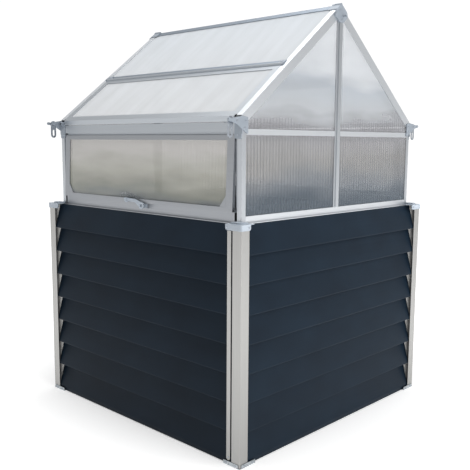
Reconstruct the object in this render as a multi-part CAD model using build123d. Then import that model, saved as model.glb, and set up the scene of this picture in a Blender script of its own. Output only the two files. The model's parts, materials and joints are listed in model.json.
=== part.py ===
from build123d import *
import os
from math import atan2, cos, degrees, radians, sin, tan

# Raised bed of slanted hollow boards with a glazed cold frame on top.
# Millimetres. +Z is up, -Y is the front (flap with the latch at its foot), +X is the right gable.
# The origin is on the ground, under the middle of the frame.

# ---- driving dimensions: the bed ----
bed_width = 1170.0          # X, outer face to outer face of the corner posts
bed_depth = 1170.0          # Y, outer face to outer face of the corner posts
board_count = 8             # courses of slanted boards on each side
board_pitch = 104.0         # height of one course
board_wall = 1.8            # skin of a hollow board
board_slant = 29.5          # how far a board's top edge lies behind its lower edge
board_set_back = 4.0        # lower edge of a board behind the post's face
board_entry = 3.5           # how far a board's end goes behind the post's lip
post_face = 40.0            # visible face of a corner post, both ways
post_wall = 2.0
post_back_reach = 65.0      # how far the post's rear lips reach along the boards
ground_rail_height = 13.5   # dark rail under the lowest board
foot_plate = 2.0            # thickness of the galvanised feet
foot_wing = 78.0            # length of a foot's wings
foot_height = 14.0
strip_width = 18.0          # strip that locks the boards in at two corners
strip_thick = 3.2
cap_height = 21.0
cap_wall = 4.6
cap_top = 2.5
cap_long_arm = 70.0
cap_short_arm = 42.0
cap_rise = 4.0              # top of a cap above the boards
cap_overhang = 5.0          # outer face of a cap beyond the post's
ledger_top = 600.0          # the rails that carry the planting trays
ledger_height = 40.0
ledger_depth = 25.0
beam_size = 25.0
tray_height = 205.0
tray_wall = 3.0
tray_gap = 4.0              # between two trays
tray_draft = 3.0            # degrees
tray_rim = 7.0
tray_clear = 9.0            # between a tray and the posts' lips

# ---- driving dimensions: the glazed top ----
frame_inset = 44.0          # bed's front face to the front face of the posts above
gable_inset = 41.0          # the same at the gables
frame_bar = 20.0            # face width of the upper posts and of the transoms
post_width = 21.0           # width of an upper post along X
bar_wall = 1.5
rebate_width = 11.0         # recessed strip beside the flap on each upper post
rebate_back = 5.0
lip = 4.0                   # glazing lip beyond a bar's tube
lip_wall = 1.5
sheet = 4.0                 # twin-wall polycarbonate
mullion_width = 36.0
mullion_rib = 3.0
sill_height = 38.0
gable_rail_height = 25.0
bar_depth = 22.0            # depth of the fixed rails, front to back
flap_gap_z = 264.0          # height between the flap's hinge and the sill
skirt_height = 33.0         # hood of the eave rail over the flap's hinge
transom_rise = 18.0         # top of the transoms above the flap's hinge
roof_pitch = 38.3           # degrees
nose_gap = 2.1754           # underside of a closed lid's nose above the eave rail
nose_lift = 4.0             # the nose's lower edge above the lid's underside
nose_share = 0.62           # how much of a plumb end the nose runs out to
rafter_width = 25.0
rafter_depth = 33.0
lid_depth = 20.0            # thickness of a lid, square to the roof
lid_bar = 26.0
ridge_flange = 26.0
purlin_bar = 26.0
lid_length = 296.0          # hinge of a lid to the outer face of the frame, down the slope
lid_overhang = 5.0          # a lid's foot beyond the frame's outer face
lid_foot_bar = 28.0
lid_start = 1.6             # a lid's head bar below its hinge line
groove_out = 2.0            # a glazing groove below the face of a roof bar
groove_depth = 4.5
sheet_bite = 3.6            # how far a sheet reaches into a groove

# ---- driving dimensions: flaps, lids, latches, stays ----
flap_depth = 12.0
flap_stile = 33.0
flap_top_bar = 20.0
flap_foot_bar = 15.0
flap_foot_out = 11.0649     # how far a closed flap's foot stands out, to clear the sill
flap_face = 6.5             # outer face of a flap outside its hinge
flap_groove = 3.0           # outer side of the flap's glazing groove, outside its hinge
gusset_x = 28.0
gusset_z = 38.0
bead = 2.0                  # radius of a hinge bead
bead_gap = 0.3
gutter_wall = 1.3
stay_length = 72.0
stay_width = 25.0
stay_thick = 2.0
stay_slot = 26.0
stay_slot_width = 9.0
arm_reach = 47.0            # stay's pivot outside the upper frame's face
stay_pin = 3.5              # radius of the pin that a stay hangs on
washer_radius = 6.5
casting_wall = 3.5
pivot_x = -62.0             # pivot of the front latch
eye_x = 32.0                # padlock eye of the front latch
eye_drop = 17.0             # the eye below the pivot
latch_block = 6.0           # how far the latch's block stands out
latch_pin = 4.0
ring_out = 14.0
ring_in = 6.0
lever_thick = 4.0

# ---- clearances ----
seat_gap = 0.2              # between a piece and what it stands on
fit_gap = 0.3               # between two pieces that meet
sheet_gap = 0.5             # between a sheet and its groove
pin_gap = 0.1               # round a pin
latch_gap = 0.5             # each side of a latch lever
run_gap = 0.8               # between a leaf and the frame round it

# ---- worked out from the above ----
half_x = bed_width / 2
half_y = bed_depth / 2
rail_base = foot_plate + fit_gap
board_base = rail_base + ground_rail_height + seat_gap
bed_top = board_base + board_count * board_pitch
channel = board_set_back + board_slant + 0.5
board_end = post_face - board_entry
room_x = half_x - channel - post_wall       # clear of the posts' lips, inside the bed
room_y = half_y - channel - post_wall
frame_x = half_x - gable_inset
frame_y = half_y - frame_inset
pitch_sin = sin(radians(roof_pitch))
pitch_cos = cos(radians(roof_pitch))
sheet_out = 2.0             # outer face of a sheet behind the frame's outer face
glazing_back = frame_x - sheet_out - sheet - sheet_gap
groove_in = groove_out + sheet + 2 * sheet_gap
leaf_half = frame_x - post_width - rebate_width - 0.5
lid_half = frame_x - rafter_width - run_gap
eave_s = frame_y / pitch_cos
hinge_s = eave_s - lid_length
sill_top = bed_top + sill_height
flap_hinge_z = sill_top + flap_gap_z
skirt_base = flap_hinge_z + 7.0
skirt_top = skirt_base + skirt_height
nose_drop = lid_depth * tan(radians(roof_pitch)) * nose_share
nose_reach = lid_overhang / pitch_cos + nose_drop
eave_rise = nose_gap + nose_reach * pitch_sin + (lid_depth - nose_lift) * pitch_cos
ridge_top = skirt_top + eave_rise + frame_y * tan(radians(roof_pitch))
transom_top = flap_hinge_z + transom_rise
flap_hinge_y = frame_y - 6.0
stay_y = frame_y + arm_reach
stay_x = frame_x - 10.0
stay_z = skirt_top + 6.5
lid_hinge_n = bead + gutter_wall + bead_gap + 0.4
lid_foot_end = lid_length + lid_overhang / pitch_cos
lid_foot_start = lid_foot_end - lid_foot_bar
lid_head_end = lid_start + lid_bar
flap_back = flap_face - flap_depth
flap_lean = degrees(atan2(flap_foot_out, flap_gap_z))
flap_length = flap_gap_z / cos(radians(flap_lean)) - run_gap
latch_y = flap_length - 8.0
latch_base_z = flap_face + seat_gap
mullion_top = ridge_top - rafter_depth / pitch_cos - mullion_width / 2 * tan(radians(roof_pitch)) - 0.5


def span(x0, x1, y0, y1, z0, z1):
    """A block between two corners."""
    middle = ((x0 + x1) / 2, (y0 + y1) / 2, (z0 + z1) / 2)
    return Pos(*middle) * Box(abs(x1 - x0), abs(y1 - y0), abs(z1 - z0))


def prism_x(points, x0, x1):
    """A (y, z) outline carried along X from x0 to x1."""
    face = make_face(Polyline(*[(0, y, z) for y, z in points], close=True))
    return Pos(x0, 0, 0) * extrude(face, amount=x1 - x0, dir=(1, 0, 0))


def prism_y(points, y0, y1):
    """An (x, z) outline carried along Y from y0 to y1."""
    face = make_face(Polyline(*[(x, 0, z) for x, z in points], close=True))
    return Pos(0, y0, 0) * extrude(face, amount=y1 - y0, dir=(0, 1, 0))


def prism_z(points, z0, z1):
    """An (x, y) outline carried up Z from z0 to z1."""
    face = make_face(Polyline(*[(x, y, 0) for x, y in points], close=True))
    return Pos(0, 0, z0) * extrude(face, amount=z1 - z0, dir=(0, 0, 1))


def rod(start, direction, radius, length):
    """A round bar from a point along a direction."""
    return Plane(start, z_dir=direction) * Cylinder(
        radius, length, align=(Align.CENTER, Align.CENTER, Align.MIN))


def to_corner(piece, sx, sy):
    """Mirror a piece made for the front right corner to another corner."""
    if sx < 0:
        piece = mirror(piece, about=Plane.YZ)
    if sy > 0:
        piece = mirror(piece, about=Plane.XZ)
    return piece


def turned(piece):
    """The same piece on the opposite side, half a turn about Z."""
    return Rot(0, 0, 180) * piece


def roof(s, n):
    """The (y, z) of a point s down the front slope from the ridge and n above it."""
    return (-s * pitch_cos - n * pitch_sin, ridge_top - s * pitch_sin + n * pitch_cos)


def slope_bar(s0, s1, n0, n1, x0, x1):
    """A block lying on the front slope."""
    corners = [roof(s0, n0), roof(s1, n0), roof(s1, n1), roof(s0, n1)]
    return prism_x(corners, x0, x1)


def save(name, *solids):
    """Write one node. Each argument stays a solid of its own."""
    bodies = []
    for item in solids:
        bodies.extend(item.solids())
    shape = bodies[0] if len(bodies) == 1 else Compound(children=bodies)
    export_step(shape, f"parts/{name}.step")


# ---- fasteners ----
screw_head = 3.6
screw_shank = 1.9
screw_places = []


def screw(length):
    """A pan-head screw that stands on z = 0 with its shank below."""
    head = extrude(Circle(screw_head), amount=1.7)
    head = fillet(head.faces().sort_by(Axis.Z)[-1].edges(), 1.1)
    recess = Pos(0, 0, 1.7) * (Box(3.6, 0.9, 1.4) + Box(0.9, 3.6, 1.4))
    return head - recess + Pos(0, 0, -length / 2) * Cylinder(screw_shank, length)


def drill(piece, point, direction, depth):
    """Sink a screw's hole in a piece and note where the screw goes."""
    screw_places.append((point, direction, depth - 0.4))
    inward = tuple(-value for value in direction)
    return piece - rod(point, inward, screw_shank + 0.2, depth)


def flip_places(count, sx, sy):
    """Carry the last few screw places to a mirrored corner."""
    for index in range(len(screw_places) - count, len(screw_places)):
        (x, y, z), (dx, dy, dz), length = screw_places[index]
        screw_places[index] = ((x * sx, y * -sy, z), (dx * sx, dy * -sy, dz), length)


def all_screws():
    return [Plane(point, z_dir=way) * screw(length) for point, way, length in screw_places]


# ---- the bed ----
def corner_post():
    """Corner extrusion: two faces, a diagonal web and two lips behind the boards."""
    def place(points):
        return [(half_x - u, -half_y + v) for u, v in points]
    inner = channel + post_wall
    face = [(0, 0), (post_face, 0), (post_face, post_wall), (post_wall, post_wall),
            (post_wall, post_face), (0, post_face)]
    web = [(post_wall, 0.5), (channel + 1.5, channel), (channel, channel + 1.5), (0.5, post_wall)]
    lips = [(channel, channel), (post_back_reach, channel), (post_back_reach, inner),
            (inner, inner), (inner, post_back_reach), (channel, post_back_reach)]
    top = bed_top + 1.2
    post = prism_z(place(face), rail_base, top)
    return post + prism_z(place(web), rail_base, top) + prism_z(place(lips), rail_base, top)


def board(length):
    """One hollow board of triangular section, its slanted face to the front (-Y)."""
    front = board_set_back
    back = board_set_back + board_slant
    height = board_pitch - 0.2
    outline = [(front, 0), (back, 0), (back, height), (back - 2.6, height), (front, 3.0)]
    skin = make_face(Polyline(*[(0, y, z) for y, z in outline], close=True))
    hollow = offset(skin, amount=-board_wall)
    return Pos(-length / 2, 0, 0) * extrude(skin - hollow, amount=length, dir=(1, 0, 0))


def board_wall_panel(length, depth):
    """The stack of boards on one side of the bed, as separate boards."""
    one = Pos(0, -depth / 2, board_base) * board(length - 2 * board_end)
    return [Pos(0, 0, course * board_pitch) * one for course in range(board_count)]


def ground_rail(length, depth):
    """Dark channel under the lowest board."""
    y0 = -depth / 2 + board_set_back + 2.0
    y1 = -depth / 2 + board_set_back + board_slant
    end = length / 2 - board_end
    rail = span(-end, end, y0, y1, rail_base, rail_base + ground_rail_height)
    hollow = span(-end, end, y0 + 1.5, y1 - 1.5, rail_base - 1, rail_base + ground_rail_height - 1.5)
    return rail - hollow


def foot():
    """Galvanised foot: a plate under the post and two screwed wings, open at the corner tip."""
    plate = span(half_x - foot_wing, half_x + 2, -half_y - 2, -half_y + 12, 0, foot_plate)
    plate += span(half_x - 12, half_x + 2, -half_y - 2, -half_y + foot_wing, 0, foot_plate)
    plate += span(half_x - 40, half_x, -half_y, -half_y + 40, 0, foot_plate)
    front = span(half_x - foot_wing, half_x - 7, -half_y - 2.3, -half_y - 0.3, 0, foot_height)
    side = span(half_x + 0.3, half_x + 2.3, -half_y + 7, -half_y + foot_wing, 0, foot_height)
    piece = plate + front + side
    for inset in (20.0, 64.0):
        piece = drill(piece, (half_x - inset, -half_y - 2.3, 7.5), (0, -1, 0), 2.0)
        piece = drill(piece, (half_x + 2.3, -half_y + inset, 7.5), (1, 0, 0), 2.0)
    return piece


def lock_strip():
    """Strip over the board ends at the front right corner, screwed at its foot."""
    x1 = half_x - post_face - 7.0
    x0 = x1 - strip_width
    z1 = bed_top - cap_height + cap_top - 0.5
    piece = span(x0, x1, -half_y + 0.3, -half_y + 0.3 + strip_thick, 17, z1)
    foot_edges = piece.edges().filter_by(Axis.Y).sort_by(Axis.Z)[:2]
    piece = fillet(foot_edges, strip_width / 2 - 1.0)
    return drill(piece, ((x0 + x1) / 2, -half_y + 0.3, 28), (0, -1, 0), strip_thick)


def corner_cap(side_arm):
    """Moulded cap over a corner post, with a seat for the upper post."""
    high = bed_top + cap_rise
    low = high - cap_height
    x_out = half_x + cap_overhang
    y_out = -half_y - cap_overhang
    x_arm = half_x - cap_long_arm
    y_arm = -half_y + side_arm
    front = span(x_arm, x_out, y_out, -half_y - 0.4, low, high)
    side = span(half_x + 0.4, x_out, y_out, y_arm, low, high)
    lid = span(x_arm, x_out, y_out, -half_y + 26, high - cap_top, high)
    lid += span(half_x - 26, x_out, y_out, y_arm, high - cap_top, high)
    seat_x = frame_x - post_width + run_gap
    seat_y = -frame_y + frame_bar - seat_gap
    lid += span(seat_x, half_x, -half_y, seat_y, high - cap_top, high)
    cap = front + side + lid
    corner = cap.edges().filter_by(Axis.Z).sort_by(lambda e: e.center().X - e.center().Y)[-1]
    cap = fillet(corner, 7.0)
    ends = [e for e in cap.edges().filter_by(Axis.Y) if abs(e.center().Z - low) < 0.1
            and abs(e.center().X - x_arm) < 0.1]
    ends += [e for e in cap.edges().filter_by(Axis.X) if abs(e.center().Z - low) < 0.1
             and abs(e.center().Y - y_arm) < 0.1]
    cap = fillet(ends, 8.0)
    pad = span(frame_x - 17, half_x - 8, -half_y + 8, -frame_y - 1.5, high - 0.5, high + 5)
    pad_edges = pad.edges().filter_by(Axis.Z).sort_by(lambda e: e.center().X - e.center().Y)
    pad = fillet(pad_edges[-1], 20.0)
    cap += pad
    cap = drill(cap, (x_arm + 9, y_out, low + 10), (0, -1, 0), cap_wall)
    return drill(cap, (x_out, y_arm - 9, low + 10), (1, 0, 0), cap_wall)


def tray_ledger():
    """Rail behind the front boards, screwed to the rear lips of two corner posts."""
    y0 = -room_y + seat_gap
    end = room_x - seat_gap
    return hollow_bar(-end, end, y0, y0 + ledger_depth, ledger_top - ledger_height, ledger_top, "x")


def tray_beam(x):
    """Tube across the bed from ledger to ledger."""
    end = room_y - seat_gap
    half = beam_size / 2
    z0 = ledger_top + seat_gap
    return hollow_bar(x - half, x + half, -end, end, z0, z0 + beam_size, "y")


def tray_outline(inset, z):
    """Rectangle of a tray in the front right quarter, drawn at height z."""
    x0 = tray_gap / 2 + inset
    x1 = room_x - tray_clear - inset
    y0 = -(room_y - tray_clear - inset)
    y1 = -x0
    return Pos((x0 + x1) / 2, (y0 + y1) / 2, z) * Rectangle(x1 - x0, y1 - y0)


def planter_tray():
    """Moulded planting tray with sloping walls, a rim and drain holes."""
    z0 = ledger_top + beam_size + 2 * seat_gap + 0.1
    inset = tray_rim + tray_height * tan(radians(tray_draft))
    shell = extrude(tray_outline(inset, z0), amount=tray_height, taper=-tray_draft)
    inside = tray_outline(inset + tray_wall, z0 + tray_wall)
    room = extrude(inside, amount=tray_height, taper=-tray_draft)
    top = z0 + tray_height
    flange = extrude(tray_outline(0, top - tray_wall), amount=tray_wall)
    tray = shell + flange - room
    middle_x = (room_x - tray_clear) / 2
    middle_y = -(room_y - tray_clear) / 2
    for dx in (0.5, 1.5):
        for dy in (0.5, 1.5):
            tray -= Pos(dx * middle_x, dy * middle_y, z0) * Cylinder(6, 20)
    return tray


# ---- the fixed frame above the bed ----
def hollow_bar(x0, x1, y0, y1, z0, z1, along):
    """A square tube. The two sides named by the axis stay open."""
    grow = {"x": (0, 1, 1), "y": (1, 0, 1), "z": (1, 1, 0)}[along]
    gx, gy, gz = (bar_wall * g if g else -1.0 for g in grow)
    return span(x0, x1, y0, y1, z0, z1) - span(x0 + gx, x1 - gx, y0 + gy, y1 - gy, z0 + gz, z1 - gz)


def upper_post():
    """Corner post of the glazed frame, with a groove for the gable glass and a flap rebate."""
    foot_z = bed_top + cap_rise + seat_gap
    top_z = ridge_top
    outer = frame_x
    tube_y1 = -frame_y + frame_bar - lip
    post = hollow_bar(outer - post_width, outer, -frame_y, tube_y1, foot_z, top_z, "z")
    post += span(outer - lip_wall, outer, tube_y1, tube_y1 + lip, foot_z, top_z)
    post += span(glazing_back - lip_wall, glazing_back, tube_y1, tube_y1 + lip, foot_z, top_z)
    rebate_x1 = outer - post_width
    rebate = span(rebate_x1 - rebate_width, rebate_x1, -frame_y + rebate_back,
                  -frame_y + rebate_back + bar_wall, sill_top + 0.5, flap_hinge_z - 3)
    above = slope_bar(-50, eave_s + 120, -rafter_depth - fit_gap, ridge_top, 0, 2 * half_x)
    return post + rebate - above


def sill():
    """Front rail over the boards: tube, weather lip, upstand behind the flap, tongue."""
    y0 = -frame_y
    tube_end = leaf_half
    piece = hollow_bar(-tube_end, tube_end, y0, y0 + bar_depth, bed_top + seat_gap, sill_top, "x")
    lip_y = -half_y + board_set_back + board_slant - 2.9
    piece += span(-tube_end, tube_end, lip_y, y0 + 1, bed_top + seat_gap, bed_top + 2.7)
    piece += span(-tube_end, tube_end, y0 + 1.3, y0 + 2.8, sill_top - 0.5, sill_top + 8)
    tongue_y = -half_y + channel + 0.3
    tongue_end = half_x - post_back_reach - 1.5
    return piece + span(-tongue_end, tongue_end, tongue_y, tongue_y + 1.5, bed_top - 12, bed_top + 1)


def gable_rail():
    """Lowest rail of the right gable, with lip, glazing groove and tongue."""
    end = frame_y - frame_bar - 0.3
    x1 = frame_x
    top = bed_top + gable_rail_height
    piece = hollow_bar(x1 - bar_depth, x1, -end, end, bed_top + seat_gap, top - lip, "y")
    piece += span(x1 - lip_wall, x1, -end, end, top - lip, top)
    piece += span(glazing_back - lip_wall, glazing_back, -end, end, top - lip, top)
    lip_x = half_x - board_set_back - board_slant + 2.9
    arm_clear = half_y - cap_long_arm - 0.5
    piece += span(x1 - 1, lip_x, -arm_clear, arm_clear, bed_top + seat_gap, bed_top + 2.7)
    tongue_x = half_x - channel - 0.3
    tongue_end = half_y - post_back_reach - 1.5
    return piece + span(tongue_x - 1.5, tongue_x, -tongue_end, tongue_end, bed_top - 12, bed_top + 1)


def transom():
    """Short cross bar between an upper post and the mullion, front half of the right gable."""
    y0 = -frame_y + frame_bar + 0.3
    y1 = -mullion_width / 2 - 0.3
    z1 = transom_top
    z0 = z1 - frame_bar
    x1 = frame_x
    piece = hollow_bar(x1 - frame_bar, x1, y0, y1, z0 + lip, z1 - lip, "y")
    for low, high in ((z0, z0 + lip), (z1 - lip, z1)):
        piece += span(x1 - lip_wall, x1, y0, y1, low, high)
        piece += span(glazing_back - lip_wall, glazing_back, y0, y1, low, high)
    return piece


def mullion():
    """Middle upright of the right gable, ribbed outside and grooved on both sides."""
    z0 = bed_top + gable_rail_height + 0.3
    z1 = mullion_top
    x1 = frame_x
    core = mullion_width / 2 - lip
    piece = hollow_bar(x1 - frame_bar, x1, -core, core, z0, z1, "z")
    piece += span(x1 - 0.5, x1 + mullion_rib, -6, 6, z0, z1)
    for low, high in ((-core - lip, -core), (core, core + lip)):
        piece += span(x1 - lip_wall, x1, low, high, z0, z1)
        piece += span(glazing_back - lip_wall, glazing_back, low, high, z0, z1)
    return piece


def eave_rail():
    """Rail under a lid: tube, front hood and the bead that the flap hangs on."""
    y0 = -frame_y
    box_end = frame_x - post_width - fit_gap
    piece = hollow_bar(-box_end, box_end, y0 + 0.4, y0 + bar_depth, skirt_base + 3, skirt_top - 3, "x")
    piece += span(-leaf_half, leaf_half, y0 - 2, y0 + 0.6, skirt_base, skirt_top)
    web_y = -flap_hinge_y
    piece += span(-leaf_half, leaf_half, web_y - 0.7, web_y + 0.7, flap_hinge_z, skirt_base + 3.5)
    return piece + rod((-leaf_half, web_y, flap_hinge_z), (1, 0, 0), bead, 2 * leaf_half)


def rafter():
    """Sloping bar of the right gable, front half, with a groove for the gable glass."""
    x1 = frame_x
    x0 = x1 - rafter_width
    end = eave_s + 60
    piece = slope_bar(-60, end, -rafter_depth + lip, 0, x0, x1)
    piece -= slope_bar(-70, end + 10, -rafter_depth + lip + bar_wall, -bar_wall,
                       x0 + bar_wall, x1 - bar_wall)
    piece += slope_bar(-60, end, -rafter_depth, -rafter_depth + lip, x1 - lip_wall, x1)
    piece += slope_bar(-60, end, -rafter_depth, -rafter_depth + lip,
                       glazing_back - lip_wall, glazing_back)
    slot_end = hinge_s - purlin_bar + 5
    piece -= slope_bar(5, slot_end, -groove_in, -groove_out, x0 - 1, x0 + groove_depth)
    rail_room = span(x0 - 1, x1 - post_width + fit_gap, -frame_y - 1, -frame_y + bar_depth + 0.3,
                     skirt_base, skirt_top)
    piece -= rail_room
    keep = span(0, 2 * half_x, -frame_y, -0.2, 0, 2 * ridge_top)
    return piece & keep


def ridge_beam():
    """Ridge extrusion: an inverted V with a glazing groove down each side."""
    end = frame_x - rafter_width - 0.4
    thick = 12.0
    foot_s = ridge_flange
    outline = [roof(0, 0), roof(foot_s, 0), roof(foot_s, -thick)]
    inner = ridge_top - thick / pitch_cos
    outline.append((0, inner))
    outline += [(-y, z) for y, z in reversed(outline[1:3])]
    beam = prism_x(outline, -end, end)
    groove = slope_bar(12, foot_s + 5, -groove_in, -groove_out, -end - 1, end + 1)
    beam = beam - groove - turned(groove)
    bore = rod((-end - 1, 0, ridge_top - thick * 0.75), (1, 0, 0), 2.6, 2 * end + 2)
    return beam - bore


def purlin():
    """Rail across the front slope that carries the lid's hinge bead."""
    end = frame_x - rafter_width - 0.3
    s0 = hinge_s - purlin_bar
    s1 = hinge_s + 0.7
    piece = slope_bar(s0, s1, -lid_depth, 0, -end, end)
    piece -= slope_bar(s0 + 6, s1 - bar_wall, -lid_depth + bar_wall, -bar_wall, -end - 1, end + 1)
    piece -= slope_bar(s0 - 1, s0 + groove_depth, -groove_in, -groove_out, -end - 1, end + 1)
    y, z = roof(hinge_s, lid_hinge_n)
    piece += slope_bar(hinge_s - 0.7, hinge_s + 0.7, -1, lid_hinge_n, -lid_half, lid_half)
    return piece + rod((-lid_half, y, z), (1, 0, 0), bead, 2 * lid_half)


def upper_sheet():
    """Fixed roof sheet between the ridge and a purlin."""
    half = frame_x - rafter_width + sheet_bite
    foot_s = hinge_s - purlin_bar + sheet_bite
    face = -groove_out - sheet_gap
    return slope_bar(13.0, foot_s, face - sheet, face, -half, half)


def gable_glass():
    """The two sheets in the front half of the right gable."""
    x1 = frame_x - sheet_out
    x0 = x1 - sheet
    y0 = -frame_y + frame_bar - lip + 0.5
    y1 = -mullion_width / 2 + lip - 0.5
    cross = transom_top
    lower = span(x0, x1, y0, y1, bed_top + gable_rail_height - lip + 0.5, cross - frame_bar + lip - 0.5)
    upper = span(x0, x1, y0, y1, cross - lip + 0.5, ridge_top)
    above = slope_bar(-60, eave_s + 90, -rafter_depth + lip - 0.5, 500, 0, 2 * half_x)
    return [lower, upper - above]


def eave_bracket():
    """Cast corner of the front right eave, with a leg, a gable plate and the stay's arm."""
    x1 = frame_x + 0.2
    top = stay_z + 5.5
    reach = frame_y - frame_bar - 6
    plate = prism_x([(-reach, stay_z - 47), (-reach, stay_z + 10), (-frame_y, top + 9),
                     (-stay_y - 8, top), (-stay_y - 8, stay_z - 6), (-frame_y - 30, stay_z - 13)],
                    x1, x1 + casting_wall)
    plate = fillet(plate.edges().filter_by(Axis.X), 3.0)
    arm = prism_x([(-frame_y - 20, top), (-stay_y - 18, top), (-stay_y - 18, stay_z - 4),
                   (-frame_y - 20, stay_z - 4)], x1, x1 + casting_wall)
    knob = rod((x1 - 3.0, -stay_y - 16, stay_z + 1), (1, 0, 0), 6.0, 8.5)
    pin = rod((stay_x - 3.0, -stay_y, stay_z), (1, 0, 0), stay_pin, x1 - stay_x + 4)
    washer = rod((stay_x - 3.0, -stay_y, stay_z), (1, 0, 0), washer_radius, 1.6)
    collar = rod((stay_x + stay_thick / 2 + 0.4, -stay_y, stay_z), (1, 0, 0), washer_radius,
                 x1 - stay_x - stay_thick / 2)
    y1 = -frame_y - fit_gap
    leg_x0 = leaf_half + 0.8
    leg = prism_y([(leg_x0, stay_z - 62), (x1, stay_z - 62), (x1, top + 4), (leg_x0, top + 4)],
                  y1 - casting_wall, y1)
    leg = fillet(leg.edges().filter_by(Axis.Y).sort_by(Axis.Z)[:2], 8.0)
    boss = rod((x1 - 11, y1, stay_z + 2), (0, -1, 0), 8.5, 12) - rod(
        (x1 - 11, y1 - 4, stay_z + 2), (0, -1, 0), 5.5, 20)
    tie = span(x1 - 1, x1 + casting_wall, y1 - casting_wall, y1, stay_z - 45, top + 4)
    piece = plate + arm + knob + pin + washer + collar + leg + boss + tie
    for y, drop in ((-frame_y - 28, 2), (-frame_y + 8, 26), (-frame_y + 16, 2)):
        piece = drill(piece, (x1 + casting_wall, y, stay_z - drop), (1, 0, 0), casting_wall)
    leg_middle = (leg_x0 + x1) / 2 - 2
    return drill(piece, (leg_middle, y1 - casting_wall, stay_z - 50), (0, -1, 0), casting_wall)


def purlin_bracket():
    """Cast plate over the right end of the front purlin."""
    x1 = frame_x - rafter_width + 6
    x0 = x1 - 30
    s0 = hinge_s - purlin_bar + 1
    s1 = hinge_s - bead - gutter_wall - 1.2
    plate = slope_bar(s0, s1, 0.2, 2.8, x0, x1)
    lug_x0 = lid_half + 0.3
    lug = slope_bar(hinge_s - 9, hinge_s + 6, 0.2, lid_hinge_n + 2.5, lug_x0, x1)
    piece = plate + lug
    way = (0, -pitch_sin, pitch_cos)
    for inset in (7.0, 20.0):
        y, z = roof(s0 + 9, 2.8)
        piece = drill(piece, (x1 - inset, y, z), way, 2.6)
    return piece


def ridge_connector():
    """Cast joint at the right end of the ridge, with a pin that stands out of the gable."""
    x1 = frame_x
    saddle = slope_bar(-4, 34, 0.2, 3.0, x1 - 38, x1 + 3.7)
    saddle += turned(slope_bar(-4, 34, 0.2, 3.0, -x1 - 3.7, 38 - x1))
    outer = x1 + 3.7 + mullion_rib
    face = prism_x([(-40, ridge_top - 44), (-12, ridge_top - 66), (12, ridge_top - 66),
                    (40, ridge_top - 44), (34, ridge_top - 25), (0, ridge_top + 1.5),
                    (-34, ridge_top - 25)], x1 + mullion_rib + 0.2 - 3.0, outer)
    rib_room = span(x1 - 1, x1 + mullion_rib + 0.3, -6.4, 6.4, 0, mullion_top + 0.5)
    crown = rod((x1 - 26, 0, ridge_top + 1.0), (1, 0, 0), 5.5, 29.7)
    inside = prism_x([roof(-1, 0.1), roof(60, 0.1), (-60, 0), (60, 0),
                      (-roof(60, 0.1)[0], roof(60, 0.1)[1])], x1 - 60, x1 + 0.2)
    pin = rod((x1 + 3, 8, ridge_top - 42), (1, 0, 0), 2.6, 20)
    knob = rod((x1 + 17, 8, ridge_top - 42), (1, 0, 0), 4.2, 7)
    piece = saddle + (face - rib_room) + crown - inside + pin + knob
    piece = drill(piece, (outer, -12, ridge_top - 22), (1, 0, 0), 3.2)
    return drill(piece, (outer, 0, ridge_top - 57), (1, 0, 0), 3.2)


# ---- hinged leaves ----
def gutter(open_from, open_to, x0, x1):
    """Hinge gutter round a bead at the origin. Angles run in the (s, n) plane of the leaf."""
    inner = bead + bead_gap
    outer = inner + gutter_wall
    ring = rod((x0, 0, 0), (1, 0, 0), outer, x1 - x0) - rod((x0 - 1, 0, 0), (1, 0, 0), inner, x1 - x0 + 2)
    far = 3 * outer
    steps = 4
    fan = [(0.0, 0.0)]
    for index in range(steps + 1):
        angle = radians(open_from + (open_to - open_from) * index / steps)
        fan.append((far * cos(angle), far * sin(angle)))
    return ring - prism_x(fan, x0 - 1, x1 + 1)


def leaf_to_lid(piece):
    """Carry a leaf drawn with Y as down-slope and Z as outward to the front slope."""
    y, z = roof(hinge_s, lid_hinge_n)
    plane = Plane(origin=(0, y, z), x_dir=(-1, 0, 0), z_dir=(0, -pitch_sin, pitch_cos))
    return plane * piece


def leaf_to_flap(piece):
    """Carry a leaf drawn with Y as down and Z as outward to its place under the eave."""
    lean = radians(flap_lean)
    plane = Plane(origin=(0, -flap_hinge_y, flap_hinge_z), x_dir=(-1, 0, 0),
                  z_dir=(0, -cos(lean), sin(lean)))
    return plane * piece


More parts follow.
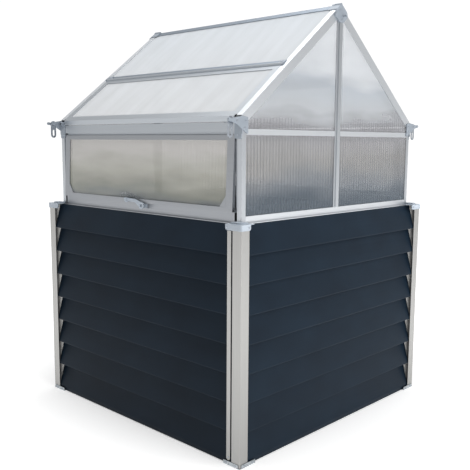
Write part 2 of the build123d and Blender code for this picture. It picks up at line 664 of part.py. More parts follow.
def lid_frame():
    """Four bars of the front lid. Drawn flat: Y down the slope, Z outward, hinge on X."""
    top = -lid_hinge_n
    base = top - lid_depth
    foot_y = lid_foot_end
    s_foot = lid_foot_start
    over = lid_half + 1
    head = span(-lid_half, lid_half, lid_start, lid_head_end, base, top)
    head -= span(-over, over, lid_start + bar_wall, lid_head_end - 5.6, base + bar_wall, top - bar_wall)
    head -= span(-over, over, lid_head_end - groove_depth, lid_head_end + 9,
                 top - groove_in, top - groove_out)
    neck = span(-lid_half, lid_half, lid_start, bead + gutter_wall + 3, top - 2, -1.0)
    neck -= rod((-over, 0, 0), (1, 0, 0), bead + bead_gap + 0.1, 2 * over)
    head += neck + gutter(155, 290, -lid_half, lid_half)
    bars = [head]
    for side in (-1, 1):
        inner = side * (lid_half - lid_bar)
        outer = side * lid_half
        bar = span(min(inner, outer), max(inner, outer), lid_head_end + 0.1, s_foot - 0.1, base, top)
        room = [side * (lid_half - lid_bar + 6), side * (lid_half - bar_wall)]
        bar -= span(min(room), max(room), lid_head_end - 1, s_foot + 1, base + bar_wall, top - bar_wall)
        groove = [side * (lid_half - lid_bar - 1), side * (lid_half - lid_bar + groove_depth)]
        bar -= span(min(groove), max(groove), lid_head_end - 1, s_foot + 1,
                    top - groove_in, top - groove_out)
        bars.append(bar)
    nose = [(s_foot, top), (foot_y, top), (foot_y + nose_drop, base + nose_lift),
            (foot_y - 4, base), (s_foot, base)]
    foot = prism_x(nose, -lid_half, lid_half)
    hole = [(s_foot + 6, top - bar_wall), (foot_y - 1.5, top - bar_wall), (foot_y + 4, base + 6),
            (foot_y - 6, base + bar_wall), (s_foot + 6, base + bar_wall)]
    foot -= prism_x(hole, -over, over)
    foot -= span(-over, over, s_foot - 1, s_foot + groove_depth, top - groove_in, top - groove_out)
    for side in (-1, 1):
        clear = [side * (leaf_half - fit_gap), side * over]
        foot -= span(min(clear), max(clear), foot_y - 10, foot_y + 40, base - 1, top + 1)
    bars.append(foot)
    return [leaf_to_lid(bar) for bar in bars]


def lid_sheet():
    """Glazing of the front lid."""
    top = -lid_hinge_n
    face = top - groove_out - sheet_gap
    half = lid_half - lid_bar + sheet_bite
    y0 = lid_head_end - sheet_bite
    y1 = lid_foot_start + sheet_bite
    return leaf_to_lid(span(-half, half, y0, y1, face - sheet, face))


def flap_frame():
    """Four bars of the front flap. Drawn hanging: Y down, Z outward, hinge on X."""
    half = leaf_half - run_gap
    groove_floor = flap_groove - sheet - 2 * sheet_gap
    head = span(-half, half, 2.2, flap_top_bar, flap_back, flap_face)
    head -= span(-half - 1, half + 1, 3.7, flap_top_bar - 6.5, flap_back + bar_wall, flap_face - bar_wall)
    head -= span(-half - 1, half + 1, flap_top_bar - groove_depth, flap_top_bar + 9,
                 groove_floor, flap_groove)
    neck = span(-half, half, 1.5, 3.0, flap_back, 2.0)
    neck -= rod((-half - 1, 0, 0), (1, 0, 0), bead + bead_gap + 0.1, 2 * half + 2)
    head += neck + gutter(80, 200, -half, half)
    bars = [head]
    y0 = flap_top_bar + 0.1
    y1 = flap_length - flap_foot_bar - 0.1
    for side in (-1, 1):
        edges = [side * (half - flap_stile), side * half]
        bar = span(min(edges), max(edges), y0, y1, flap_back, flap_face)
        room = [side * (half - flap_stile + 6), side * (half - bar_wall)]
        bar -= span(min(room), max(room), y0 - 1, y1 + 1, flap_back + bar_wall, flap_face - bar_wall)
        groove = [side * (half - flap_stile - 1), side * (half - flap_stile + groove_depth)]
        bar -= span(min(groove), max(groove), y0 - 1, y1 + 1, groove_floor, flap_groove)
        bars.append(bar)
    foot = span(-half, half, flap_length - flap_foot_bar, flap_length, flap_back, flap_face)
    foot -= span(-half - 1, half + 1, flap_length - flap_foot_bar + 6, flap_length - bar_wall,
                 flap_back + bar_wall, flap_face - bar_wall)
    foot_y = flap_length - flap_foot_bar
    foot -= span(-half - 1, half + 1, foot_y - 1, foot_y + groove_depth, groove_floor, flap_groove)
    bars.append(foot)
    return [leaf_to_flap(bar) for bar in bars]


def flap_sheet():
    """Glazing of the front flap."""
    half = leaf_half - run_gap - flap_stile + sheet_bite
    y0 = flap_top_bar - sheet_bite
    y1 = flap_length - flap_foot_bar + sheet_bite
    face = flap_groove - sheet_gap
    return leaf_to_flap(span(-half, half, y0, y1, face - sheet, face))


def flap_gussets():
    """Two small plates across the lower corners of the flap's glazing."""
    plates = []
    y1 = flap_length - flap_foot_bar - 0.3
    for side in (-1, 1):
        x = side * (leaf_half - run_gap - flap_stile - 0.3)
        points = [(x, y1), (x - side * gusset_x, y1), (x, y1 - gusset_z)]
        plates.append(leaf_to_flap(prism_z(points, flap_groove - seat_gap, flap_face)))
    return plates


# ---- latch ----
def latch_base():
    """Moulded block on the flap's lower rail that the lever turns on."""
    z0 = latch_base_z
    block = span(-pivot_x - 20, -pivot_x + 20, latch_y - 8, latch_y + 6, z0, z0 + latch_block)
    block = fillet(block.edges().filter_by(Axis.Z), 4.0)
    stem = rod((-pivot_x, latch_y, z0 + 5), (0, 0, 1), latch_pin,
               1.0 + 2 * latch_gap + lever_thick)
    head = rod((-pivot_x, latch_y, z0 + latch_block + 2 * latch_gap + lever_thick), (0, 0, 1),
               6.5, 2.4)
    return leaf_to_flap(block + stem + head)


def latch_lever():
    """Flat lever with a padlock eye, in front of the flap's foot and the sill."""
    z0 = latch_base_z + latch_block + latch_gap
    eye_y = latch_y + eye_drop
    bar = span(-pivot_x, 6.0, latch_y - 6.5, latch_y + 5.5, z0, z0 + lever_thick)
    hub = rod((-pivot_x, latch_y, z0), (0, 0, 1), 10.0, lever_thick)
    tip = (-eye_x, eye_y)
    slant = prism_z([(8.0, latch_y - 6.5), (8.0, latch_y + 5.5), (tip[0] + 6, tip[1] + 8),
                     (tip[0] - 3, tip[1] - 11)], z0, z0 + lever_thick)
    ring = rod((tip[0], tip[1], z0), (0, 0, 1), ring_out, lever_thick)
    lever = bar + hub + slant + ring
    lever -= rod((tip[0], tip[1], z0 - 1), (0, 0, 1), ring_in, lever_thick + 2)
    lever -= rod((-pivot_x, latch_y, z0 - 1), (0, 0, 1), latch_pin + pin_gap,
                 lever_thick + 2)
    return leaf_to_flap(lever)


def latch_keeper():
    """Ear on the front sill behind the lever's eye, for a padlock."""
    z = flap_hinge_z - (latch_y + eye_drop) * cos(radians(flap_lean))
    y0 = -frame_y - seat_gap
    plate = span(eye_x - 15, eye_x + 15, y0 - 2.5, y0, z - 10, z + 7)
    ear = span(eye_x - 11, eye_x - 2.5, y0 - 15, y0, z - 10, z + 7)
    ear -= rod((eye_x - 20, y0 - 8.5, z), (1, 0, 0), 3.6, 30)
    return plate + ear


# ---- stays ----
def stay():
    """Slotted link that hangs from the front right bracket and props a lid open."""
    x0 = stay_x - stay_thick / 2
    low = stay_z - stay_length + stay_width
    body = span(x0, x0 + stay_thick, -stay_y - stay_width / 2, -stay_y + stay_width / 2, low, stay_z)
    for z in (low, stay_z):
        body += rod((x0, -stay_y, z), (1, 0, 0), stay_width / 2, stay_thick)
    slot = span(x0 - 1, x0 + stay_thick + 1, -stay_y - stay_slot_width / 2,
                -stay_y + stay_slot_width / 2, low, low + stay_slot - stay_slot_width)
    for z in (low, low + stay_slot - stay_slot_width):
        slot += rod((x0 - 1, -stay_y, z), (1, 0, 0), stay_slot_width / 2, stay_thick + 2)
    hole = rod((x0 - 1, -stay_y, stay_z), (1, 0, 0), stay_pin + pin_gap, stay_thick + 2)
    return body - slot - hole


corners = {"front_right": (1, -1), "front_left": (-1, -1), "rear_right": (1, 1), "rear_left": (-1, 1)}


def build_bed():
    for name, (sx, sy) in corners.items():
        save(f"corner_post_{name}", to_corner(corner_post(), sx, sy))
    caps = []
    feet = []
    for sx, sy in corners.values():
        strip_corner = sx * sy < 0
        caps.append(to_corner(corner_cap(cap_short_arm if strip_corner else cap_long_arm), sx, sy))
        flip_places(2, sx, sy)
        feet.append(to_corner(foot(), sx, sy))
        flip_places(4, sx, sy)
    save("corner_caps", *caps)
    save("feet", *feet)
    long_side = board_wall_panel(bed_width, bed_depth)
    short_side = board_wall_panel(bed_depth, bed_width)
    save("boards_front", *long_side)
    save("boards_rear", *[turned(one) for one in long_side])
    save("boards_right", *[Rot(0, 0, 90) * one for one in short_side])
    save("boards_left", *[Rot(0, 0, -90) * one for one in short_side])
    rails = [ground_rail(bed_width, bed_depth), turned(ground_rail(bed_width, bed_depth))]
    rails += [Rot(0, 0, way) * ground_rail(bed_depth, bed_width) for way in (90, -90)]
    save("ground_rails", *rails)
    save("tray_ledgers", tray_ledger(), turned(tray_ledger()))
    reach = room_x - tray_clear
    save("tray_beams", *[tray_beam(side * share * reach) for side in (-1, 1) for share in (0.16, 0.84)])
    save("planter_trays", *[to_corner(planter_tray(), sx, sy) for sx, sy in corners.values()])
    front_strip = lock_strip()
    rear_strip = turned(lock_strip())
    (x, y, z), (dx, dy, dz), length = screw_places[-1]
    screw_places[-1] = ((-x, -y, z), (-dx, -dy, dz), length)
    save("board_lock_strips", front_strip, rear_strip)


def build_frame():
    castings = []
    for name, (sx, sy) in corners.items():
        save(f"upper_post_{name}", to_corner(upper_post(), sx, sy))
        castings.append(to_corner(eave_bracket(), sx, sy))
        flip_places(4, sx, sy)
    save("eave_brackets", *castings)
    save("front_sill", sill())
    save("rear_sill", turned(sill()))
    save("eave_rail_front", eave_rail())
    save("eave_rail_rear", turned(eave_rail()))
    save("purlin_front", purlin())
    save("purlin_rear", turned(purlin()))
    save("ridge_beam", ridge_beam())
    save("upper_roof_sheets", upper_sheet(), turned(upper_sheet()))
    brackets = []
    for sx, sy in corners.values():
        brackets.append(to_corner(purlin_bracket(), sx, sy))
        flip_places(2, sx, sy)
    save("purlin_brackets", *brackets)
    connectors = []
    for sx in (1, -1):
        connector = ridge_connector()
        if sx < 0:
            connector = turned(connector)
            for index in (-2, -1):
                (x, y, z), (dx, dy, dz), length = screw_places[index]
                screw_places[index] = ((-x, -y, z), (-dx, -dy, dz), length)
        connectors.append(connector)
    save("ridge_connectors", *connectors)
    for side, sx in (("right", 1), ("left", -1)):
        save(f"gable_rail_{side}", to_corner(gable_rail(), sx, -1))
        save(f"gable_mullion_{side}", to_corner(mullion(), sx, -1))
        save(f"gable_transoms_{side}", *[to_corner(transom(), sx, sy) for sy in (-1, 1)])
        save(f"rafters_{side}", *[to_corner(rafter(), sx, sy) for sy in (-1, 1)])
        panes = [to_corner(pane, sx, sy) for sy in (-1, 1) for pane in gable_glass()]
        save(f"gable_sheets_{side}", *panes)


def build_leaves():
    for side, put in (("front", lambda piece: piece), ("rear", turned)):
        save(f"lid_{side}_frame", *[put(bar) for bar in lid_frame()])
        save(f"lid_{side}_sheet", put(lid_sheet()))
        save(f"flap_{side}_frame", *[put(bar) for bar in flap_frame()])
        save(f"flap_{side}_gussets", *[put(plate) for plate in flap_gussets()])
        save(f"flap_{side}_sheet", put(flap_sheet()))
        save(f"latch_{side}_base", put(latch_base()))
        save(f"latch_{side}_lever", put(latch_lever()))
    save("latch_keepers", latch_keeper(), turned(latch_keeper()))
    for name, (sx, sy) in corners.items():
        save(f"stay_{name}", to_corner(stay(), sx, sy))


os.makedirs("parts", exist_ok=True)
build_bed()
build_frame()
build_leaves()
save("screws", *all_screws())
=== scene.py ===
# %% [markdown]
# A raised cold frame is a slatted planting bed with a small gabled greenhouse on top. The metal
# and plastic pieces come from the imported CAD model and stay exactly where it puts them. Here they
# get their finishes, the clear sheets get their real twin-wall build, and the object gets a camera,
# a floor and lights. Everything is in metres and in the model's own frame.

# %% Load the frame
import json
import math

import bmesh
import bpy
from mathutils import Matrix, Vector


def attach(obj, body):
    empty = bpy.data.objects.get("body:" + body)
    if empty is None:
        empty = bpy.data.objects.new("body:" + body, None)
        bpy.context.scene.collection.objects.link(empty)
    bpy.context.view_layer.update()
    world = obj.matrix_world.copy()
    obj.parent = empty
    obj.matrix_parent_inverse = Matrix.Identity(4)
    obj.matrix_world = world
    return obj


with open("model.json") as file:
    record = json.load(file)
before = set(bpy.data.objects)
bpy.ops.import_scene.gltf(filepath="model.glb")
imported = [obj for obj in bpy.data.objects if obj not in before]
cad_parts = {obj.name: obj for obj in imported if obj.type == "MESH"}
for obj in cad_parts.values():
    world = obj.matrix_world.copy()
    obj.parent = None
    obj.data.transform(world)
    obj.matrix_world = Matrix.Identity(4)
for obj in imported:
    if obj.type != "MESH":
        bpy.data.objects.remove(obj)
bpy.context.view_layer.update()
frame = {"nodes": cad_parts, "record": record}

MM = 0.001
nodes = frame["nodes"]

# %% [markdown]
# Colours are picked as sRGB hex values, the way a paint card gives them. Blender's shaders work in
# linear light, so one function turns a hex value into linear red, green and blue.

# %% Colours
def paint(hex_value):
    """An sRGB hex value as a linear colour with full alpha."""
    parts = [int(hex_value[i:i + 2], 16) / 255 for i in (1, 3, 5)]
    linear = [c / 12.92 if c <= 0.04045 else ((c + 0.055) / 1.055) ** 2.4 for c in parts]
    return (*linear, 1.0)


print("anthracite board in linear light:", [round(c, 4) for c in paint("#1B2936")[:3]])

# %% [markdown]
# Every finish below is a small net of nodes. One function adds a node, sets its settings and makes
# its links, so that a finish reads as a list of what feeds what. A link is given as a pair: the
# node it comes from and the name of that node's output. Patterns are laid by the position in space.
# That is right while the object is closed. When a piece turns on its hinge or pin, its pattern
# slides over it, which is a known fault.

# %% Nodes
def add(tree, kind, links=(), **settings):
    """Add one node. Settings are properties, or inputs where the name is a socket's."""
    node = tree.nodes.new(kind)
    for name, value in settings.items():
        if hasattr(node, name):
            setattr(node, name, value)
        else:
            node.inputs[name.replace("_", " ")].default_value = value
    for socket, (source, output) in dict(links).items():
        tree.links.new(source.outputs[output], node.inputs[socket])
    return node


def blank(name):
    """A material with an empty node tree, and that tree."""
    material = bpy.data.materials.new(name)
    material.use_nodes = True
    material.node_tree.nodes.clear()
    return material, material.node_tree


def place(tree, stretch):
    """The position in space, divided by a real size in millimetres along each axis."""
    where = add(tree, "ShaderNodeNewGeometry")
    scale = tuple(1.0 / (size * MM) for size in stretch)
    return add(tree, "ShaderNodeMapping", links={"Vector": (where, "Position")}, Scale=scale)


def shade(tree, shader):
    """Send a shader to the material's output."""
    add(tree, "ShaderNodeOutputMaterial", links={"Surface": (shader, 0)})


# %% [markdown]
# The boards are hollow extruded plastic in anthracite, with a matt skin. The die leaves faint lines
# along each board, and the skin carries a very fine grain and some dull patches of dust. One
# material serves all four sides, and its sheen is kept low, as the skin is matt. Lines that run
# along X and lines that run along Y differ only in how the pattern is stretched, so the stretch is
# an argument.

# %% Extruded plastic boards
def board_plastic(name, stretch):
    material, tree = blank(name)
    lines = add(tree, "ShaderNodeTexNoise", links={"Vector": (place(tree, stretch), 0)},
                Scale=1.0, Detail=4.0, Roughness=0.6)
    dust = add(tree, "ShaderNodeTexNoise", links={"Vector": (place(tree, (180, 180, 120)), 0)},
               Scale=1.0, Detail=3.0)
    grain = add(tree, "ShaderNodeTexNoise", links={"Vector": (place(tree, (1.2, 1.2, 1.2)), 0)},
                Scale=1.0, Detail=2.0)
    base = add(tree, "ShaderNodeMix", data_type="RGBA", links={"Factor": (dust, "Fac")},
               A=paint("#121B25"), B=paint("#1B2936"))
    rough = add(tree, "ShaderNodeMapRange", links={"Value": (lines, "Fac")}, To_Min=0.36,
                To_Max=0.56)
    low = add(tree, "ShaderNodeBump", links={"Height": (lines, "Fac")}, Strength=0.35,
              Distance=0.25 * MM)
    fine = add(tree, "ShaderNodeBump", links={"Height": (grain, "Fac"), "Normal": (low, "Normal")},
               Strength=0.3, Distance=0.08 * MM)
    shade(tree, add(tree, "ShaderNodeBsdfPrincipled", IOR=1.5, Specular_IOR_Level=0.11, links={
        "Base Color": (base, "Result"), "Roughness": (rough, "Result"),
        "Normal": (fine, "Normal")}))
    return material


boards_along_x = board_plastic("board_plastic_x", (420, 6, 2.2))
boards_along_y = board_plastic("board_plastic_y", (6, 420, 2.2))
print("board finishes made, die lines 2.2 mm apart")

# %% [markdown]
# The posts, rails and rafters are extruded aluminium. Anodising leaves a satin metal with fine
# lines along the bar. Bars of one metal look paler or darker by the way they face, and six base
# tones paint that light and shade into the colour: painted light on the gable bars, the palest,
# painted shade on the bars along the roof, a darker blue-grey, and the rest between. A bevel node
# rounds the light on sharp edges by half a millimetre, as the real extrusion's corners are rounded.

# %% Anodised aluminium
def anodised(name, tone, dull, stretch, roughness):
    material, tree = blank(name)
    lines = add(tree, "ShaderNodeTexNoise", links={"Vector": (place(tree, stretch), 0)},
                Scale=1.0, Detail=5.0, Roughness=0.65)
    base = add(tree, "ShaderNodeMix", data_type="RGBA", links={"Factor": (lines, "Fac")},
               A=paint(tone), B=paint(dull))
    rough = add(tree, "ShaderNodeMapRange", links={"Value": (lines, "Fac")},
                To_Min=roughness - 0.06, To_Max=roughness + 0.08)
    edge = add(tree, "ShaderNodeBevel", samples=4, Radius=0.5 * MM)
    bump = add(tree, "ShaderNodeBump", links={"Height": (lines, "Fac"), "Normal": (edge, "Normal")},
               Strength=0.25, Distance=0.05 * MM)
    shade(tree, add(tree, "ShaderNodeBsdfPrincipled", Metallic=1.0, links={
        "Base Color": (base, "Result"), "Roughness": (rough, "Result"),
        "Normal": (bump, "Normal")}))
    return material


# Six tones of one aluminium: how pale or dark each one is, is painted light and shade, not a
# different metal.
post_metal = anodised("post_aluminium", "#B2B2B0", "#A5A4A2", (1.6, 1.6, 320), 0.42)
upright_metal = anodised("upright_aluminium", "#C6CACE", "#B7BBC0", (1.4, 1.4, 300), 0.40)
bar_metal = anodised("bar_aluminium", "#DDE0E4", "#D0D4D8", (300, 300, 1.4), 0.42)
lid_bar_metal = anodised("lid_bar_aluminium", "#BDC2C7", "#AEB3B9", (300, 300, 1.4), 0.40)
long_bar_metal = anodised("long_bar_aluminium", "#A9ACB0", "#9B9EA3", (320, 1.4, 1.4), 0.42)
roof_bar_metal = anodised("roof_bar_aluminium", "#929BA5", "#7F8893", (320, 1.4, 1.4), 0.44)
print("aluminium finishes made, die lines about 1.5 mm apart")

# %% [markdown]
# Caps and latches are moulded plastic painted silver, and the corner castings are cast aluminium
# with a silver coat. Both have a soft pebbled skin. The casting's is coarser, as sand and the coat
# leave it.

# %% Moulded and cast silver
def pebbled(name, tone, shadow, grit, metallic, roughness):
    material, tree = blank(name)
    grain = add(tree, "ShaderNodeTexNoise", links={"Vector": (place(tree, (grit,) * 3), 0)},
                Scale=1.0, Detail=3.0)
    cloud = add(tree, "ShaderNodeTexNoise", links={"Vector": (place(tree, (35, 35, 35)), 0)},
                Scale=1.0, Detail=2.0)
    base = add(tree, "ShaderNodeMix", data_type="RGBA", links={"Factor": (cloud, "Fac")},
               A=paint(shadow), B=paint(tone))
    edge = add(tree, "ShaderNodeBevel", samples=4, Radius=0.8 * MM)
    bump = add(tree, "ShaderNodeBump", links={"Height": (grain, "Fac"), "Normal": (edge, "Normal")},
               Strength=0.4, Distance=0.12 * MM)
    shade(tree, add(tree, "ShaderNodeBsdfPrincipled", Metallic=metallic, Roughness=roughness,
                    links={"Base Color": (base, "Result"), "Normal": (bump, "Normal")}))
    return material


cap_silver = pebbled("moulded_silver", "#BAC3CD", "#A7B1BC", 1.1, 0.0, 0.42)
casting_silver = pebbled("cast_silver", "#A2AAB3", "#8A929C", 1.6, 0.35, 0.40)
print("moulded and cast silver made")

# %% [markdown]
# Screws and stays are zinc-plated steel: smooth, slightly blue and a little cloudy. The feet and
# the beams inside are hot-dip galvanised, and the zinc freezes in flat crystals some 8 mm across,
# which is called spangle. A Voronoi pattern gives each crystal its own brightness.

# %% Plated steel
def plated(name, tone, shadow, crystal, roughness):
    material, tree = blank(name)
    flakes = add(tree, "ShaderNodeTexVoronoi", links={"Vector": (place(tree, (crystal,) * 3), 0)},
                 Scale=1.0)
    level = add(tree, "ShaderNodeSeparateColor", links={"Color": (flakes, "Color")})
    base = add(tree, "ShaderNodeMix", data_type="RGBA", links={"Factor": (level, "Red")},
               A=paint(shadow), B=paint(tone))
    rough = add(tree, "ShaderNodeMapRange", links={"Value": (level, "Green")},
                To_Min=roughness - 0.08, To_Max=roughness + 0.08)
    shade(tree, add(tree, "ShaderNodeBsdfPrincipled", Metallic=1.0, links={
        "Base Color": (base, "Result"), "Roughness": (rough, "Result")}))
    return material


zinc_plate = plated("zinc_plate", "#B9BFC6", "#A3AAB3", 3.0, 0.36)
galvanised = plated("galvanised_steel", "#C3C8CC", "#9CA3A8", 8.0, 0.42)
print("plated steels made")

# %% [markdown]
# The planting trays are black moulded polypropylene with a leather-like grain. They sit inside the
# bed and are seen dimly through the clear sheets.

# %% Black polypropylene
tray_black, tree = blank("black_polypropylene")
pebble = add(tree, "ShaderNodeTexVoronoi", links={"Vector": (place(tree, (1.8, 1.8, 1.8)), 0)},
             Scale=1.0, feature="SMOOTH_F1")
bump = add(tree, "ShaderNodeBump", links={"Height": (pebble, "Distance")}, Strength=0.4,
           Distance=0.15 * MM)
shade(tree, add(tree, "ShaderNodeBsdfPrincipled", Base_Color=paint("#1B1C1E"), Roughness=0.55,
                IOR=1.49, links={"Normal": (bump, "Normal")}))
print("tray plastic made")

# %% [markdown]
# Put each finish on its pieces. A piece's name says what it is, so a list of name starts and
# finishes is enough. A CAD piece keeps its shape and gets its finish in its material slots.

# %% Finishes on the CAD pieces
finish_of = [
    ("boards_front", boards_along_x), ("boards_rear", boards_along_x), ("boards", boards_along_y),
    ("ground_rails", boards_along_x), ("corner_post", post_metal), ("board_lock", post_metal),
    ("corner_caps", cap_silver), ("latch", cap_silver), ("eave_brackets", casting_silver),
    ("purlin_brackets", casting_silver), ("ridge_connectors", casting_silver),
    ("ridge_beam", roof_bar_metal), ("purlin_front", roof_bar_metal),
    ("purlin_rear", roof_bar_metal), ("lid_front_frame", lid_bar_metal),
    ("lid_rear_frame", lid_bar_metal), ("eave_rail", lid_bar_metal), ("front_sill", long_bar_metal),
    ("rear_sill", long_bar_metal), ("flap_front_frame", long_bar_metal),
    ("flap_rear_frame", long_bar_metal), ("flap_front_gussets", long_bar_metal),
    ("flap_rear_gussets", long_bar_metal),
    ("upper_post", upright_metal), ("gable_mullion", upright_metal), ("stay", zinc_plate),
    ("screws", zinc_plate), ("feet", galvanised), ("tray_", galvanised),
    ("planter_trays", tray_black),
]


def finish(piece, material):
    piece.data.materials.clear()
    piece.data.materials.append(material)


for name, piece in nodes.items():
    chosen = [material for start, material in finish_of if name.startswith(start)]
    finish(piece, chosen[0] if chosen else bar_metal)
print("pieces finished:", len(nodes))

# %% [markdown]
# The clear sheets are twin-wall polycarbonate: two thin skins with ribs between them, extruded in
# one. The skins are clear but hazy, so what is behind shows pale and soft, and the alpha stands
# for that haze. The roof sheets are drawn milky, paler and less clear than the upright ones: that
# is painted light from the sky they catch. Outdoors an upright sheet shows a soft blur of what
# stands round it: blue-grey low down, then a warmer grey, and pale at the top. The studio is
# empty, so bands of tone by height, on the skins and the ribs, are a painted reflection of that
# blur. A noise bends them, so that no edge is straight. The plastic itself has no such bands.

# %% Twin-wall polycarbonate
LOWEST_BAND = 0.89
HIGHEST_BAND = 1.62
BEND = 0.16
# Painted reflection: tones by height on the upright and flap sheets, standing in for the blurred
# surroundings they mirror and pass.
PAINTED_REFLECTION_TONES = [(0.0, "#66717C"), (0.10, "#888E95"), (0.22, "#A1A09F"), (0.38, "#ABABAF"),
              (0.47, "#D2D6DA"), (0.60, "#CDD3DA"), (0.70, "#E8EBEF"), (1.0, "#F0F2F5")]
FLAP_PAINTED_REFLECTION_TONES = [(0.0, "#868E96"), (0.07, "#B0B2A8"), (0.16, "#D2D1C5"), (0.27, "#F0EDE9"),
                   (1.0, "#F4F2EF")]
# Painted light: the roof sheets' paler, milkier tones stand for the sky they catch.
SKY_LIT_TONES = [(0.0, "#F0F3F6"), (0.45, "#F7F9FB"), (1.0, "#E7ECF1")]
# The upright and flap ribs get the same painted reflection by height, darker low down. The roof
# ribs are paler with painted sky light.
RIB_TONES = [(0.0, "#59636D"), (0.4, "#8C9096"), (1.0, "#AEB5BD")]
SKY_LIT_RIB_TONES = [(0.0, "#C2C8CE"), (1.0, "#C9D0D7")]


def clear_plastic(name, tones, thin, thick, roughness, stretch):
    material, tree = blank(name)
    film = add(tree, "ShaderNodeTexNoise", links={"Vector": (place(tree, stretch), 0)},
               Scale=1.0, Detail=3.0)
    where = add(tree, "ShaderNodeSeparateXYZ",
                links={"Vector": (add(tree, "ShaderNodeNewGeometry"), "Position")})
    height = add(tree, "ShaderNodeMapRange", links={"Value": (where, "Z")}, clamp=False,
                 From_Min=LOWEST_BAND, From_Max=HIGHEST_BAND)
    bend = add(tree, "ShaderNodeMapRange", links={"Value": (film, "Fac")}, To_Min=-BEND,
               To_Max=BEND)
    band = add(tree, "ShaderNodeMath", operation="ADD")
    tree.links.new(height.outputs["Result"], band.inputs[0])
    tree.links.new(bend.outputs["Result"], band.inputs[1])
    # The ramp paints tone by height: a painted reflection on the upright sheets, and painted sky
    # light on the roof.
    ramp = add(tree, "ShaderNodeValToRGB", links={"Fac": (band, "Value")})
    for index, (at, tone) in enumerate(tones):
        stops = ramp.color_ramp.elements
        stop = stops[index] if index < 2 else stops.new(at)
        stop.position = at
        stop.color = paint(tone)
    ripple = add(tree, "ShaderNodeBump", links={"Height": (film, "Fac")}, Strength=0.06,
                 Distance=0.8 * MM)
    haze = add(tree, "ShaderNodeMapRange", links={"Value": (film, "Fac")}, To_Min=thin,
               To_Max=thick)
    shade(tree, add(tree, "ShaderNodeBsdfPrincipled", Roughness=roughness, IOR=1.58, links={
        "Base Color": (ramp, "Color"), "Alpha": (haze, "Result"), "Normal": (ripple, "Normal")}))
    return material


sky_lit_skin = clear_plastic("sky_lit_skin", SKY_LIT_TONES, 0.50, 0.78, 0.22, (70, 420, 420))
upright_skin = clear_plastic("upright_skin", PAINTED_REFLECTION_TONES, 0.36, 0.52, 0.24, (520, 520, 130))
flap_skin = clear_plastic("flap_skin", FLAP_PAINTED_REFLECTION_TONES, 0.48, 0.62, 0.24, (520, 520, 130))
upright_rib = clear_plastic("upright_rib", RIB_TONES, 0.72, 0.82, 0.30, (520, 520, 130))
flap_rib = clear_plastic("flap_rib", RIB_TONES, 0.72, 0.82, 0.30, (520, 520, 130))
sky_lit_rib = clear_plastic("sky_lit_rib", SKY_LIT_RIB_TONES, 0.72, 0.82, 0.30, (70, 420, 420))
sheet_names = [name for name in nodes if name.endswith("_sheet") or "sheets" in name]


def sheet_finishes(name):
    """The skin and the rib finish of a sheet, by where the sheet is."""
    if name.startswith("gable"):
        return upright_skin, upright_rib
    if name.startswith("flap"):
        return flap_skin, flap_rib
    return sky_lit_skin, sky_lit_rib


for name in sheet_names:
    finish(nodes[name], sheet_finishes(name)[0])
bpy.context.scene.cycles.transparent_max_bounces = 40
print("sheets:", sheet_names)

# %% [markdown]
# The ribs run along the flutes: upright in the gables, and from top to bottom in the flaps and the
# roof, so that water drains out. Real ribs are about 0.35 mm thick and 6 mm apart. That is too
# fine to show at this distance, so they are drawn coarser: 1.2 mm thick and 16 mm apart. Each one
# is a thin wall between the two skins. A sheet's own mesh says how far a rib may go: the sheet is
# cut with a plane at the rib, and the cut's outline, kept inside the skins, is the rib's shape.

# %% Ribs of the sheets
RIB_SPACING = 16.0 * MM
RIB_HALF = 0.6 * MM
SKIN = 0.4 * MM
WELD = 0.01 * MM


def separate_solids(piece):
    """One welded bmesh for each separate solid in a piece."""
    whole = bmesh.new()
    whole.from_mesh(piece.data)
    bmesh.ops.remove_doubles(whole, verts=whole.verts, dist=WELD)
    left = set(whole.verts)
    solids = []
    while left:
        group = set()
        reach = [left.pop()]
        while reach:
            vert = reach.pop()
            group.add(vert)
            near = {edge.other_vert(vert) for edge in vert.link_edges} & left
            left -= near
            reach.extend(near)
        solid = bmesh.new()
        copies = {vert: solid.verts.new(vert.co) for vert in group}
        for face in whole.faces:
            if face.verts[0] in group:
                solid.faces.new([copies[vert] for vert in face.verts])
        solids.append(solid)
    whole.free()
    return solids


def rib(mesh, solid, across, out, along, place_across):
    """Add the rib at one place across a sheet."""
    cut = solid.copy()
    edges_and_faces = list(cut.verts) + list(cut.edges) + list(cut.faces)
    result = bmesh.ops.bisect_plane(cut, geom=edges_and_faces, plane_co=across * place_across,
                                    plane_no=across)
    points = [g.co for g in result["geom_cut"] if isinstance(g, bmesh.types.BMVert)]
    low_out = min(p.dot(out) for p in points) + SKIN
    high_out = max(p.dot(out) for p in points) - SKIN
    ends = (min(p.dot(along) for p in points), max(p.dot(along) for p in points))
    box = [mesh.verts.new(across * (place_across + side) + out * depth + along * end)
           for end in ends for depth in (low_out, high_out) for side in (-RIB_HALF, RIB_HALF)]
    for face in ((0, 1, 3, 2), (4, 6, 7, 5), (0, 4, 5, 1),
                 (2, 3, 7, 6), (0, 2, 6, 4), (1, 5, 7, 3)):
        mesh.faces.new([box[i] for i in face])
    cut.free()


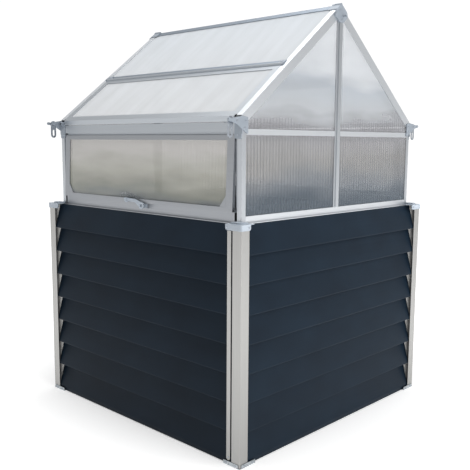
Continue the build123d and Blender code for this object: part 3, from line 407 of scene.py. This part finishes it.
def rib_sheet(name):
    """All the ribs of one CAD sheet node, as one piece that rides with it."""
    across = Vector((0, 1, 0)) if name.startswith("gable") else Vector((1, 0, 0))
    mesh = bmesh.new()
    for solid in separate_solids(nodes[name]):
        solid.faces.ensure_lookup_table()
        solid.normal_update()
        out = max(solid.faces, key=lambda face: face.calc_area()).normal.copy()
        along = out.cross(across).normalized()
        start = min(v.co.dot(across) for v in solid.verts)
        end = max(v.co.dot(across) for v in solid.verts)
        count = int((end - start) / RIB_SPACING)
        for index in range(1, count):
            rib(mesh, solid, across, out, along, start + index * (end - start) / count)
        solid.free()
    bmesh.ops.recalc_face_normals(mesh, faces=mesh.faces)
    data = bpy.data.meshes.new("ribs_" + name)
    mesh.to_mesh(data)
    mesh.free()
    piece = bpy.data.objects.new("ribs_" + name, data)
    bpy.context.scene.collection.objects.link(piece)
    finish(piece, sheet_finishes(name)[1])
    body = next(b for b, names in frame["record"]["behaviour"]["bodies"].items() if name in names)
    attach(piece, body)
    return len(data.polygons) // 6


print("ribs:", {name: rib_sheet(name) for name in sheet_names})

# %% [markdown]
# The floor is a plain white sheet, wide enough to fill the view. It is the stage, not the object.
# It gives off some light, more so away from the object, so that it melts into the white room and
# only a soft contact shadow stays.

# %% Floor
floor_mesh = bpy.data.meshes.new("floor")
grid = bmesh.new()
bmesh.ops.create_grid(grid, x_segments=1, y_segments=1, size=30.0)
grid.to_mesh(floor_mesh)
grid.free()
floor = bpy.data.objects.new("floor", floor_mesh)
bpy.context.scene.collection.objects.link(floor)
pale, tree = blank("pale_floor")
middle = add(tree, "ShaderNodeVectorMath", operation="LENGTH",
             links={"Vector": (add(tree, "ShaderNodeNewGeometry"), "Position")})
glow = add(tree, "ShaderNodeMapRange", links={"Value": (middle, "Value")}, From_Min=0.6,
           From_Max=2.6, To_Min=0.36, To_Max=0.95)
shade(tree, add(tree, "ShaderNodeBsdfPrincipled", Base_Color=paint("#FBFBFB"), Roughness=0.9,
                Emission_Color=(1, 1, 1, 1), links={"Emission Strength": (glow, "Result")}))
finish(floor, pale)

# %% [markdown]
# The studio is a white room. What the lens sees of it is pure white, what the metal mirrors is
# light grey, and what lights the object evenly is weaker, so that the two sides of the object
# differ. The light path node tells the three apart, in the world only. A large soft window lights
# the gable. The metal does not mirror it, or the gable bars would burn out to white. One more soft
# light overhead lights the roof and the floor.

# %% Lights
ROOM_LIGHT = 0.10
MIRRORED_ROOM = 0.60
SEEN_ROOM = 1.05
world = bpy.data.worlds.new("studio")
bpy.context.scene.world = world
world.use_nodes = True
tree = world.node_tree
tree.nodes.clear()
path = add(tree, "ShaderNodeLightPath")
mirrored = add(tree, "ShaderNodeMix", data_type="FLOAT", A=ROOM_LIGHT, B=MIRRORED_ROOM,
               links={"Factor": (path, "Is Glossy Ray")})
strength = add(tree, "ShaderNodeMix", data_type="FLOAT", B=SEEN_ROOM,
               links={"Factor": (path, "Is Camera Ray"), "A": (mirrored, "Result")})
room = add(tree, "ShaderNodeBackground", Color=(1, 1, 1, 1),
           links={"Strength": (strength, "Result")})
add(tree, "ShaderNodeOutputWorld", links={"Surface": (room, "Background")})


def soft_light(name, where, size, power, mirrored, aim=(0, 0, 0.8)):
    lamp = bpy.data.lights.new(name, "AREA")
    lamp.size = size
    lamp.energy = power
    piece = bpy.data.objects.new(name, lamp)
    piece.location = where
    piece.visible_glossy = mirrored
    piece.rotation_euler = (Vector(aim) - Vector(where)).to_track_quat("-Z", "Y").to_euler()
    bpy.context.scene.collection.objects.link(piece)


soft_light("gable_window", (4.8, 0.9, 2.2), 4.8, 190, mirrored=False)
soft_light("overhead", (0.0, -0.3, 4.8), 3.0, 165, mirrored=True)
print("lights set")

# %% [markdown]
# The camera stands 1.1 m up, off the front right corner. The view is set to Standard, so that
# a white room stays white.

# %% Camera
camera_data = bpy.data.cameras.new("camera")
camera_data.lens = 53.1
camera_data.sensor_width = 36.0
camera = bpy.data.objects.new("camera", camera_data)
camera.location = (2.1379, -2.2394, 1.1253)
TILT_DOWN = 7.67
ROLL = -0.35
TURN = 43.76
camera.rotation_euler = [math.radians(angle) for angle in (90 - TILT_DOWN, ROLL, TURN)]
bpy.context.scene.collection.objects.link(camera)
bpy.context.scene.camera = camera
bpy.context.scene.view_settings.view_transform = "Standard"
